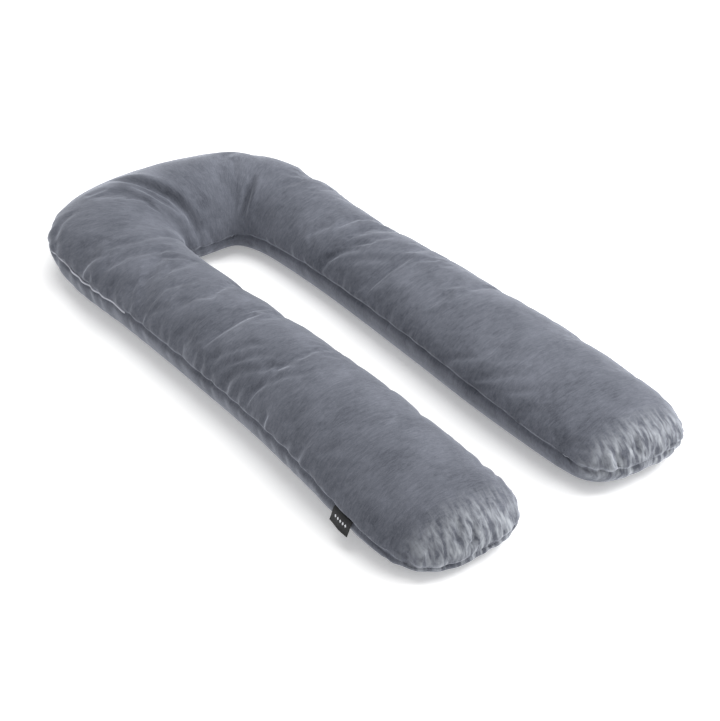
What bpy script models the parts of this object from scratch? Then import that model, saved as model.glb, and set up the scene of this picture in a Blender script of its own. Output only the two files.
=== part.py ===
"""U-shaped body pillow in a velour cover, lying on its back. Metres, +Z up.

The origin is at the middle of the pillow's base. +Y runs to the closed end and -Y to
the two arm tips. The arm at -X carries the label and the stretch of zip that shows.

The pillow is a loft. Its rings stand along a U-shaped middle line, and each ring runs
over the top panel from the outer seam to the inner seam, then back under the base.
A place on it is given by two numbers: the share of the way along the middle line, from
the tip at -X (0) to the tip at +X (1), and the way round the ring, from the outer seam
(0) over the top to the inner seam (1) and under the base to the outer seam again (2).
"""

import math
from collections import namedtuple

import bmesh
import bpy
import numpy as np
from mathutils import Vector

INCH = 0.0254
LENGTH = 54 * INCH
WIDTH = 28 * INCH
# The pillow lies this far in +X, because its label sticks out at -X
LABEL_SHIFT = 0.0055
CLEARANCE = 0.0004

# Middle line of the U: two straight arms and a squarish bend
ARM_OFFSET = 0.2070
BEND_START = 0.2957
BEND_RISE = 0.2514
BEND_SQUARENESS = 3.1
LINE_POINTS = 400
TURN_SPAN = 0.10

# Rounding of the two arm tips, as distances from the tip
TIP_LENGTH = 0.135
TIP_SQUARENESS = 2.8
CROWN_FALL = 0.247
CROWN_FALL_POWER = 2.44
BASE_RISE = 0.074

# Cross-section: power of the crown's arch, and the flat share of each half of the base
CROWN_POWER = 1.97
OUTER_FLAT = 0.40
INNER_FLAT = 0.50
BASE_TURN = 0.35

# Half widths, crown height and seam heights at even steps along the middle line
Section = namedtuple("Section", "outer inner crown outer_seam inner_seam")
SECTIONS = (
    Section(0.134, 0.157, 0.129, 0.020, 0.031),
    Section(0.150, 0.140, 0.142, 0.054, 0.038),
    Section(0.141, 0.136, 0.157, 0.078, 0.046),
    Section(0.126, 0.132, 0.162, 0.079, 0.049),
    Section(0.120, 0.127, 0.156, 0.077, 0.046),
    Section(0.117, 0.126, 0.148, 0.077, 0.041),
    Section(0.121, 0.131, 0.143, 0.076, 0.037),
    Section(0.151, 0.139, 0.149, 0.072, 0.040),
    Section(0.137, 0.143, 0.155, 0.067, 0.044),
    Section(0.120, 0.140, 0.157, 0.061, 0.047),
    Section(0.101, 0.124, 0.146, 0.055, 0.058),
    Section(0.097, 0.122, 0.143, 0.052, 0.070),
    Section(0.111, 0.130, 0.148, 0.052, 0.078),
    Section(0.124, 0.141, 0.148, 0.051, 0.083),
    Section(0.137, 0.151, 0.146, 0.049, 0.082),
    Section(0.144, 0.149, 0.136, 0.041, 0.071),
    Section(0.155, 0.138, 0.128, 0.034, 0.050),
)

# Ring spacing of the loft along the middle line, and the places of points round a ring
RingGap = namedtuple("RingGap", "share gap")
RING_GAPS = (
    RingGap(0.000, 0.002),
    RingGap(0.012, 0.008),
    RingGap(0.045, 0.016),
    RingGap(0.340, 0.016),
    RingGap(0.400, 0.014),
    RingGap(0.600, 0.015),
    RingGap(0.680, 0.028),
    RingGap(0.920, 0.028),
    RingGap(0.988, 0.008),
    RingGap(1.000, 0.002),
)
FIRST_RING = 0.001
TOP_PLACES = (0, 0.022, 0.05, 0.085, 0.13, 0.18, 0.24, 0.30, 0.37, 0.44, 0.50)
BASE_PLACES = (1, 1.03, 1.07, 1.13, 1.20, 1.28, 1.35, 1.50)

# Seam between the two panels, all round the pillow
SEAM_DEPTH = 0.0045
SEAM_REACH = 0.007

# Puckers along the seam, in metres along it from the tip at -X up the outer side
Gather = namedtuple("Gather", "start end pitch depth reach")
GATHERS = (
    Gather(0.00, 0.16, 0.046, 0.0065, 0.034),
    Gather(0.20, 0.90, 0.058, 0.0060, 0.038),
    Gather(0.90, 1.46, 0.050, 0.0075, 0.044),
    Gather(1.55, 3.00, 0.080, 0.0040, 0.032),
    Gather(3.08, 3.54, 0.048, 0.0065, 0.036),
    Gather(3.62, 4.40, 0.085, 0.0040, 0.030),
    Gather(4.42, 4.70, 0.045, 0.0050, 0.036),
    Gather(4.80, 5.60, 0.080, 0.0040, 0.030),
    Gather(5.64, 5.88, 0.046, 0.0065, 0.034),
)

# Main folds: a valley along a path of (share, way round) places, with a soft ridge beside it
Fold = namedtuple("Fold", "width depth places")
FOLDS = (
    Fold(0.013, 0.012, ((0.472, 0.27), (0.474, 0.48), (0.480, 0.66), (0.483, 0.80), (0.479, 0.94))),
    Fold(0.010, 0.007, ((0.466, 0.42), (0.467, 0.55), (0.469, 0.67), (0.474, 0.77))),
    Fold(0.013, 0.009, ((0.573, 0.57), (0.576, 0.68), (0.581, 0.79), (0.587, 0.97))),
    Fold(0.012, 0.006, ((0.388, 0.62), (0.398, 0.76), (0.412, 0.95))),
    Fold(0.012, 0.007, ((0.333, 0.03), (0.337, 0.13), (0.346, 0.24), (0.344, 0.36), (0.339, 0.52))),
    Fold(0.012, 0.006, ((0.372, 0.02), (0.375, 0.12), (0.376, 0.22), (0.371, 0.36))),
    Fold(0.012, 0.007, ((0.415, 0.04), (0.421, 0.11), (0.430, 0.18), (0.437, 0.30))),
    Fold(0.012, 0.005, ((0.242, 0.02), (0.241, 0.10), (0.234, 0.21), (0.224, 0.31))),
    Fold(0.012, 0.006, ((0.209, 0.02), (0.213, 0.10), (0.208, 0.21), (0.196, 0.30), (0.184, 0.40))),
    Fold(0.012, 0.005, ((0.185, 0.02), (0.189, 0.10), (0.187, 0.19), (0.181, 0.29))),
)
FOLD_STEPS = 40
RELIEF_FADE = (0.006, 0.030)

# Zip: its coil lies in the seam groove
ZIP_ENDS = (0.340, 0.440)
ZIP_RADIUS = 0.0016
ZIP_RISE = 0.0002

# Label: a woven ribbon folded double, held by its top edge in the seam
LABEL_MIDDLE = 0.0705
LABEL_LENGTH = 0.050
LABEL_THICKNESS = 0.0012
LABEL_COLUMNS = 7
LabelRow = namedtuple("LabelRow", "drop out")
LABEL_ROWS = (
    LabelRow(0.000, 0.0012),
    LabelRow(0.004, 0.0048),
    LabelRow(0.009, 0.0072),
    LabelRow(0.015, 0.0090),
    LabelRow(0.021, 0.0112),
    LabelRow(0.026, 0.0140),
)


def clear_scene():
    """Remove every object, so that the file starts empty."""
    for item in list(bpy.data.objects):
        bpy.data.objects.remove(item, do_unlink=True)


def make_material(name, colour, roughness, sheen=0.0):
    """A Principled material of one colour."""
    material = bpy.data.materials.new(name)
    material.use_nodes = True
    shader = material.node_tree.nodes["Principled BSDF"]
    shader.inputs["Base Color"].default_value = (*colour, 1)
    shader.inputs["Roughness"].default_value = roughness
    shader.inputs["Sheen Weight"].default_value = sheen
    material.diffuse_color = (*colour, 1)
    return material


def dome(distance, length, power):
    """0 at distance 0, rising like a rounded shoulder to 1 at the given length."""
    left = 1 - np.clip(distance / length, 0, 1)
    return (1 - left**power) ** (1 / power)


def signed_power(value, power):
    """The value's size raised to a power, with its sign kept."""
    return np.sign(value) * np.abs(value) ** power


def middle_line():
    """Points of the middle line from the tip at -X to the tip at +X, and the distance along it."""
    angle = np.linspace(math.pi, 0, LINE_POINTS)
    bend_x = ARM_OFFSET * signed_power(np.cos(angle), 2 / BEND_SQUARENESS)
    bend_y = BEND_START + BEND_RISE * np.sin(angle).clip(0) ** (2 / BEND_SQUARENESS)
    x = np.concatenate([[-ARM_OFFSET], bend_x, [ARM_OFFSET]])
    y = np.concatenate([[-LENGTH / 2], bend_y, [-LENGTH / 2]])
    steps = np.hypot(np.diff(x), np.diff(y))
    return x, y, np.concatenate([[0], np.cumsum(steps)])


LINE_X, LINE_Y, LINE_DISTANCE = middle_line()
LINE_LENGTH = LINE_DISTANCE[-1]


def line_at(distance):
    """Points of the middle line at the given distances along it, as rows of x, y."""
    x = np.interp(distance, LINE_DISTANCE, LINE_X)
    y = np.interp(distance, LINE_DISTANCE, LINE_Y)
    return np.stack([x, y], axis=-1)


def inward_at(distance):
    """Unit vectors towards the inside of the U, which turn gradually through the bend."""
    along = line_at(distance + TURN_SPAN) - line_at(distance - TURN_SPAN)
    along /= np.linalg.norm(along, axis=-1, keepdims=True)
    return np.stack([along[:, 1], -along[:, 0]], axis=-1)


def section_column(name, share):
    """A column of SECTIONS at the given shares, along a smooth curve through its rows."""
    rows = np.array([getattr(section, name) for section in SECTIONS])
    rows = np.concatenate([[2 * rows[0] - rows[1]], rows, [2 * rows[-1] - rows[-2]]])
    place = np.clip(share, 0, 1) * (len(SECTIONS) - 1)
    first = np.minimum(place.astype(int), len(SECTIONS) - 2)
    t = place - first
    before, low, high, after = (rows[first + i] for i in range(4))
    turn = 2 * before - 5 * low + 4 * high - after
    twist = 3 * (low - high) + after - before
    return low + 0.5 * t * (high - before + t * (turn + t * twist))


def smooth_rings(share, around):
    """Points of the unwrinkled pillow: an array of rings, places round a ring and x, y, z."""
    share = np.asarray(share, float)
    around = np.asarray(around, float)
    distance = share * LINE_LENGTH
    to_tip = np.minimum(distance, LINE_LENGTH - distance)
    narrowing = dome(to_tip, TIP_LENGTH, TIP_SQUARENESS)
    outer = section_column("outer", share) * narrowing
    inner = section_column("inner", share) * narrowing
    outer_seam = section_column("outer_seam", share)
    inner_seam = section_column("inner_seam", share)
    mean_seam = (outer_seam + inner_seam) / 2
    outer_seam = mean_seam + (outer_seam - mean_seam) * narrowing
    inner_seam = mean_seam + (inner_seam - mean_seam) * narrowing
    crown_share = dome(to_tip, CROWN_FALL, CROWN_FALL_POWER)
    base_share = dome(to_tip, BASE_RISE, 2)

    over = np.pi * (1 - np.clip(around, 0, 1))
    top_across = signed_power(np.cos(over), 2 / CROWN_POWER)
    lift = np.sin(over).clip(0) ** (2 / CROWN_POWER)
    seam = outer_seam[:, None] + np.outer(inner_seam - outer_seam, (top_across + 1) / 2)
    rise = (section_column("crown", share)[:, None] - seam) * crown_share[:, None]
    top_z = seam + rise * lift

    from_inner = np.pi / 2 * np.clip((around - 1) / BASE_TURN, 0, 1)
    from_outer = np.pi / 2 * np.clip((2 - around) / BASE_TURN, 0, 1)
    inner_across = INNER_FLAT + (1 - INNER_FLAT) * np.cos(from_inner)
    outer_across = OUTER_FLAT + (1 - OUTER_FLAT) * np.cos(from_outer)
    flat = np.clip((around - 1 - BASE_TURN) / (1 - 2 * BASE_TURN), 0, 1)
    base_across = np.outer(inner, inner_across) * (1 - flat) - np.outer(outer, outer_across) * flat
    inner_z = inner_seam[:, None] * (1 - np.outer(base_share, np.sin(from_inner)))
    outer_z = outer_seam[:, None] * (1 - np.outer(base_share, np.sin(from_outer)))
    base_z = inner_z * (1 - flat) + outer_z * flat

    on_top = around <= 1
    top_across = np.where(top_across < 0, np.outer(outer, top_across), np.outer(inner, top_across))
    across = np.where(on_top, top_across, base_across)
    z = np.where(on_top, top_z, base_z)
    xy = line_at(distance)[:, None, :] + inward_at(distance)[:, None, :] * across[:, :, None]
    return np.concatenate([xy, z[:, :, None]], axis=-1)


def ring_shares():
    """Shares of the rings, from close to one tip to equally close to the other."""
    places = [row.share for row in RING_GAPS]
    gaps = [row.gap for row in RING_GAPS]
    first = FIRST_RING / LINE_LENGTH
    shares = [first]
    while shares[-1] < 1 - first:
        shares.append(shares[-1] + np.interp(shares[-1], places, gaps) / LINE_LENGTH)
    shares = np.array(shares)
    return first + (shares - first) * (1 - 2 * first) / (shares[-1] - first)


def ring_places():
    """Places round a ring, alike on both halves of the top and of the base."""
    top = [*TOP_PLACES, *(1 - place for place in TOP_PLACES[-2::-1])]
    base = [*BASE_PLACES[1:], *(3 - place for place in BASE_PLACES[-2:0:-1])]
    return np.array(top + base)


def nearest_on_path(points, path):
    """Distance of each point from a path, and how far along the path its nearest place is."""
    nearest = np.full(len(points), np.inf)
    along = np.zeros(len(points))
    passed = 0.0
    for start, end in zip(path[:-1], path[1:]):
        step = end - start
        length = np.linalg.norm(step)
        if length > 0:
            t = np.clip((points - start) @ step / length**2, 0, 1)
            distance = np.linalg.norm(points - start - t[:, None] * step, axis=1)
            closer = distance < nearest
            nearest = np.where(closer, distance, nearest)
            along = np.where(closer, passed + t * length, along)
            passed += length
    return nearest, along


def seam_loop():
    """The seam as a closed path: up the outer side from the tip at -X and back inside the U."""
    edges = smooth_rings(ring_shares(), [0, 1])
    return np.concatenate([edges[:, 0], edges[::-1, 1], edges[:1, 0]])


def window(value, start, end, soft):
    """1 between start and end, falling softly to 0 just inside both."""
    return np.clip((value - start) / soft, 0, 1) * np.clip((end - value) / soft, 0, 1)


def gather_relief(gather, from_seam, along_seam):
    """How far one run of puckers pushes the cover in, at points near the seam."""
    turns = (along_seam - gather.start) / gather.pitch
    uneven = turns + 0.20 * np.sin(1.3 * turns) + 0.10 * np.sin(2.9 * turns + 1)
    strength = 0.75 + 0.25 * np.sin(2.7 * turns + 0.6)
    valley = 0.5 - 0.5 * np.cos(2 * np.pi * uneven)
    fade = np.exp(-((from_seam / gather.reach) ** 2))
    fade *= window(along_seam, gather.start, gather.end, gather.pitch)
    return gather.depth * strength * valley * fade


def fold_relief(fold, points):
    """How far one fold pushes the cover in: a valley, with a low ridge on both sides."""
    places = np.array(fold.places)
    steps = np.linspace(0, len(places) - 1, FOLD_STEPS)
    share = np.interp(steps, range(len(places)), places[:, 0])
    around = np.interp(steps, range(len(places)), places[:, 1])
    rings = smooth_rings(share, around)
    path = rings[range(FOLD_STEPS), range(FOLD_STEPS)]
    distance, along = nearest_on_path(points, path)
    length = np.linalg.norm(np.diff(path, axis=0), axis=1).sum()
    middle = 1 - np.abs(2 * along / length - 1) ** 3
    valley = np.exp(-((distance / fold.width) ** 2))
    ridge = np.exp(-(((distance - 2 * fold.width) / fold.width) ** 2))
    return fold.depth * (valley - 0.35 * ridge) * (0.25 + 0.75 * middle)


def relief(points):
    """How far the seam, the puckers and the folds push the cover in at each point."""
    from_seam, along_seam = nearest_on_path(points, seam_loop())
    seam = SEAM_DEPTH * np.exp(-((from_seam / SEAM_REACH) ** 2))
    depth = sum((gather_relief(gather, from_seam, along_seam) for gather in GATHERS), seam)
    depth = sum((fold_relief(fold, points) for fold in FOLDS), depth)
    low, high = RELIEF_FADE
    return depth * np.clip((points[:, 2] - low) / (high - low), 0, 1)


def fit_to_size(points):
    """Give the pillow its full width and length, centred together with its label."""
    low = points.min(axis=0)
    high = points.max(axis=0)
    scale = np.array([WIDTH / (high[0] - low[0]), LENGTH / (high[1] - low[1]), 1])
    middle = (low + high) / 2
    middle[2] = 0
    return (points - middle) * scale + [LABEL_SHIFT, 0, 0]


def make_object(name, mesh, material, collection):
    """An object with one material, in the pillow's collection."""
    mesh.materials.append(material)
    item = bpy.data.objects.new(name, mesh)
    collection.objects.link(item)
    return item


def make_pillow(material, collection):
    """The filled cover, and the finished points of its rings for the pieces in the seam."""
    shares = ring_shares()
    places = ring_places()
    rings = smooth_rings(shares, places)
    count, size = rings.shape[:2]
    tips = smooth_rings([0, 1], [0])[:, 0]
    mesh = bpy.data.meshes.new("pillow")
    bm = bmesh.new()
    vertices = [bm.verts.new(point) for point in rings.reshape(-1, 3)]
    poles = [bm.verts.new(point) for point in tips]
    for ring in range(count - 1):
        for place in range(size):
            beside = (place + 1) % size
            corners = (ring * size + place, ring * size + beside)
            bm.faces.new([vertices[i] for i in (*corners, corners[1] + size, corners[0] + size)])
    for place in range(size):
        beside = (place + 1) % size
        last = (count - 1) * size
        bm.faces.new([vertices[beside], vertices[place], poles[0]])
        bm.faces.new([vertices[last + place], vertices[last + beside], poles[1]])
    bmesh.ops.recalc_face_normals(bm, faces=bm.faces)
    bm.normal_update()
    points = np.array([vertex.co for vertex in bm.verts])
    normals = np.array([vertex.normal for vertex in bm.verts])
    points = fit_to_size(points - normals * relief(points)[:, None])
    for vertex, point in zip(bm.verts, points):
        vertex.co = point
    bm.to_mesh(mesh)
    bm.free()
    mesh.shade_smooth()
    make_object("pillow", mesh, material, collection)
    return shares, points[: count * size].reshape(count, size, 3)


def outward_at(share):
    """Level unit vector away from the U, at one share of the outer seam."""
    inward = inward_at(np.array([share * LINE_LENGTH]))[0]
    return np.array([-inward[0], -inward[1], 0])


def make_zip(material, collection, shares, outer_seam):
    """The zip's coil: a thin tube that follows the outer seam round the corner of the closed end."""
    rise = ZIP_RADIUS + CLEARANCE + ZIP_RISE
    path = [
        point + outward_at(share) * rise
        for share, point in zip(shares, outer_seam)
        if ZIP_ENDS[0] <= share <= ZIP_ENDS[1]
    ]
    curve = bpy.data.curves.new("zip_coil", "CURVE")
    curve.dimensions = "3D"
    curve.bevel_depth = ZIP_RADIUS
    curve.bevel_resolution = 2
    curve.use_fill_caps = True
    spline = curve.splines.new("POLY")
    spline.points.add(len(path) - 1)
    for knot, point in zip(spline.points, path):
        knot.co = (*point, 1)
    spline.use_smooth = True
    return make_object("zip_coil", curve, material, collection)


def make_label(material, collection, shares, outer_seam):
    """The label: a ribbon whose top edge sits in the seam and whose loop hangs down outside it."""
    half = LABEL_LENGTH / 2 / LINE_LENGTH
    columns = np.linspace(LABEL_MIDDLE - half, LABEL_MIDDLE + half, LABEL_COLUMNS)
    mesh = bpy.data.meshes.new("label")
    bm = bmesh.new()
    grid = []
    for row in LABEL_ROWS:
        line = []
        for share in columns:
            seam = Vector([np.interp(share, shares, outer_seam[:, axis]) for axis in range(3)])
            out = Vector(outward_at(share))
            line.append(bm.verts.new(seam + out * row.out - Vector((0, 0, row.drop))))
        grid.append(line)
    for upper, lower in zip(grid[:-1], grid[1:]):
        for i in range(LABEL_COLUMNS - 1):
            bm.faces.new((upper[i], lower[i], lower[i + 1], upper[i + 1]))
    bm.to_mesh(mesh)
    bm.free()
    label = make_object("label", mesh, material, collection)
    thickness = label.modifiers.new("ribbon folded double", "SOLIDIFY")
    thickness.thickness = LABEL_THICKNESS
    thickness.offset = 0
    return label


def main():
    clear_scene()
    collection = bpy.data.collections.new("pregnancy_pillow")
    bpy.context.scene.collection.children.link(collection)
    velour = make_material("grey velour", (0.15, 0.16, 0.19), 0.85, 0.4)
    nylon = make_material("pale nylon", (0.70, 0.71, 0.74), 0.45)
    ribbon = make_material("black ribbon", (0.015, 0.015, 0.017), 0.7)
    shares, rings = make_pillow(velour, collection)
    outer_seam = rings[:, 0]
    make_zip(nylon, collection, shares, outer_seam)
    make_label(ribbon, collection, shares, outer_seam)


main()
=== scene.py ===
"""A U-shaped pregnancy pillow in a polyester velour cover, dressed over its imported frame.

Metres, +Z up. The origin is at the middle of the pillow's base, +Y runs to the closed end
and the arm at -X carries the label and the stretch of zip that shows. A place on the cover
is a share of the way along the middle line, from the tip at -X (0) to the tip at +X (1),
and the way round the ring there, from the outer seam (0) over the top to the inner seam (1)
and under the base to the outer seam again (2).
"""

import logging
import math
from dataclasses import dataclass
from typing import NamedTuple, Sequence

import bmesh
import bpy
import numpy as np
from bpy.types import ID, Material, Mesh, Node, NodeSocket, NodeTree, Object
from mathutils import Matrix, Vector


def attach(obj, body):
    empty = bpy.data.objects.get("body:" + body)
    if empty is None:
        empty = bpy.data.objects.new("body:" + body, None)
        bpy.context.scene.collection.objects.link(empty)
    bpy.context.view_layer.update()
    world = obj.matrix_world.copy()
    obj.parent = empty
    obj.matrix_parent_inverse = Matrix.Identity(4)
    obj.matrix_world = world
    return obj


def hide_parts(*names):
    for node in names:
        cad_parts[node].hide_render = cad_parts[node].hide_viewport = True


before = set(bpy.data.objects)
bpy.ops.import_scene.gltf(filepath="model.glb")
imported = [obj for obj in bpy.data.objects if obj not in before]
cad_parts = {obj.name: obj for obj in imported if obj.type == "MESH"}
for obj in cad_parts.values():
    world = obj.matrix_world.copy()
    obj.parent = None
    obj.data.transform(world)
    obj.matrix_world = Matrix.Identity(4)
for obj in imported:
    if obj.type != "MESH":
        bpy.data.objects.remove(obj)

log = logging.getLogger("pregnancy_pillow")
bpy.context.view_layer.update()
INCH = 0.0254
ROOT = "root"


class Section(NamedTuple):
    """Half widths, crown height and seam heights at one step along the middle line."""

    outer: float
    inner: float
    crown: float
    outer_seam: float
    inner_seam: float


class Gap(NamedTuple):
    """Spacing of the grid, in metres, at one place of a line or a ring."""

    place: float
    gap: float


class Gather(NamedTuple):
    """A run of puckers, in metres along the seam from the tip at -X up the outer side."""

    start: float
    end: float
    pitch: float
    depth: float
    reach: float


class Sway(NamedTuple):
    """An uneven drift along the puckers: how far it goes, how fast, and where it starts."""

    size: float
    rate: float
    start: float

    def at(self, turns: np.ndarray) -> np.ndarray:
        """The drift after the given number of puckers."""
        return self.size * np.sin(self.rate * turns + self.start)


class Fold(NamedTuple):
    """A valley in the cover along a path of (share, way round) places."""

    width: float
    depth: float
    places: tuple[tuple[float, float], ...]


def linear(colour: str, alpha: float = 1.0) -> tuple[float, float, float, float]:
    """Turn an sRGB hex colour into Blender's linear values.

    Args:
        colour: Six hex digits after a hash.
        alpha: Opacity.

    Returns:
        Linear red, green and blue, and the alpha.
    """
    parts = [int(colour[i : i + 2], 16) / 255 for i in (1, 3, 5)]
    values = [part / 12.92 if part <= 0.04045 else ((part + 0.055) / 1.055) ** 2.4 for part in parts]
    return (*values, alpha)


def add_node(tree: NodeTree, kind: str, inputs: dict | None = None, **settings: object) -> Node:
    """Add a node with its settings, values and links.

    Args:
        tree: The node tree.
        kind: The node's type name.
        inputs: Sockets by name or index, each with a value or with the socket that feeds it.
        **settings: The node's own properties.

    Returns:
        The new node.
    """
    node = tree.nodes.new(kind)
    for name, value in settings.items():
        setattr(node, name, value)
    for key, value in (inputs or {}).items():
        if isinstance(value, NodeSocket):
            tree.links.new(value, node.inputs[key])
        else:
            node.inputs[key].default_value = value
    return node


def add_math(tree: NodeTree, operation: str, *values: object) -> NodeSocket:
    """Add a Math node on the given numbers or sockets, and return its result."""
    return add_node(tree, "ShaderNodeMath", dict(enumerate(values)), operation=operation).outputs[0]


def add_noise(tree: NodeTree, vector: NodeSocket, *values: float) -> NodeSocket:
    """Add a Noise node with the given scale, detail, roughness and distortion, and return its value."""
    names = ("Scale", "Detail", "Roughness", "Distortion")
    return add_node(tree, "ShaderNodeTexNoise", {"Vector": vector, **dict(zip(names, values))}).outputs["Fac"]


def stretch(tree: NodeTree, vector: NodeSocket, sizes_mm: Sequence[float]) -> NodeSocket:
    """Scale a place in metres so that one unit is the given millimetres along each direction."""
    scale = tuple(1000 / size for size in sizes_mm)
    return add_node(tree, "ShaderNodeMapping", {"Vector": vector, "Scale": scale}).outputs["Vector"]


def map_range(tree: NodeTree, value: NodeSocket, low: float, high: float) -> NodeSocket:
    """Turn the range from low to high into 0 to 1, and return the result."""
    limits = {"Value": value, "From Min": low, "From Max": high}
    return add_node(tree, "ShaderNodeMapRange", limits).outputs["Result"]


def mix_colours(tree: NodeTree, factor: NodeSocket, first: object, second: object) -> NodeSocket:
    """Mix two colours, each a value or a socket, and return the result."""
    inputs = {"Factor": factor, "A": first, "B": second}
    return add_node(tree, "ShaderNodeMix", inputs, data_type="RGBA").outputs["Result"]


def new_material(name: str) -> tuple[Material, NodeTree, Node]:
    """Make an empty material with a Principled shader.

    Args:
        name: The material's name.

    Returns:
        The material, its tree and its Principled shader.
    """
    material = bpy.data.materials.new(name)
    material.use_nodes = True
    tree = material.node_tree
    return material, tree, tree.nodes["Principled BSDF"]


def dome(distance: np.ndarray, length: float, power: float) -> np.ndarray:
    """0 at distance 0, rising like a rounded shoulder to 1 at the given length."""
    left = 1 - np.clip(distance / length, 0, 1)
    return (1 - left**power) ** (1 / power)


def signed_power(value: np.ndarray, power: float) -> np.ndarray:
    """The value's size raised to a power, with its sign kept."""
    return np.sign(value) * np.abs(value) ** power


def smooth_step(value: np.ndarray) -> np.ndarray:
    """0 below 0 and 1 above 1, with a smooth rise between."""
    value = np.clip(value, 0, 1)
    return value * value * (3 - 2 * value)


def catmull_rom(rows: np.ndarray, place: np.ndarray) -> np.ndarray:
    """Follow a smooth curve through rows.

    Args:
        rows: The rows, evenly spaced along the first axis.
        place: Where to look, counted in rows.

    Returns:
        The curve's values at those places.
    """
    last = len(rows) - 1
    rows = np.concatenate([2 * rows[:1] - rows[1:2], rows, 2 * rows[-1:] - rows[-2:-1]])
    first = np.minimum(place.astype(int), last - 1)
    t = (place - first).reshape(-1, *[1] * (rows.ndim - 1))
    before, low, high, after = (rows[first + step] for step in range(4))
    turn = 2 * before - 5 * low + 4 * high - after
    twist = 3 * (low - high) + after - before
    return low + 0.5 * t * (high - before + t * (turn + t * twist))


def graded(gaps: Sequence[Gap], start: float, end: float, length: float) -> np.ndarray:
    """Places from start to end whose spacing follows a table of gaps.

    Args:
        gaps: The spacing wanted at each place.
        start: First place.
        end: Last place.
        length: Metres for one unit of place.

    Returns:
        The places, the first at start and the last at end.
    """
    places = [start]
    while places[-1] < end:
        gap = np.interp(places[-1], [row.place for row in gaps], [row.gap for row in gaps])
        places.append(places[-1] + gap / length)
    found = np.array(places)
    return start + (found - start) * (end - start) / (found[-1] - start)


def nearest_on_path(points: np.ndarray, path: np.ndarray, within: float) -> tuple[np.ndarray, np.ndarray]:
    """Find each point's distance from a path.

    Args:
        points: Rows of x, y, z.
        path: Rows of x, y, z, in order.
        within: Distance past which a point is left at infinity.

    Returns:
        The distances, and how far along the path each nearest place is.
    """
    nearest = np.full(len(points), np.inf)
    along = np.zeros(len(points))
    low, high = path.min(axis=0) - within, path.max(axis=0) + within
    near = np.nonzero(np.all((points > low) & (points < high), axis=1))[0]
    here, best, place = points[near], nearest[near], along[near]
    passed = 0.0
    for start, end in zip(path[:-1], path[1:]):
        step = end - start
        length = float(np.linalg.norm(step))
        if length > 0:
            offset = here - start
            t = np.clip(offset @ step / length**2, 0, 1)
            distance = np.linalg.norm(offset - t[:, None] * step, axis=1)
            closer = distance < best
            best = np.where(closer, distance, best)
            place = np.where(closer, passed + t * length, place)
            passed += length
    nearest[near], along[near] = best, place
    return nearest, along


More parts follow.
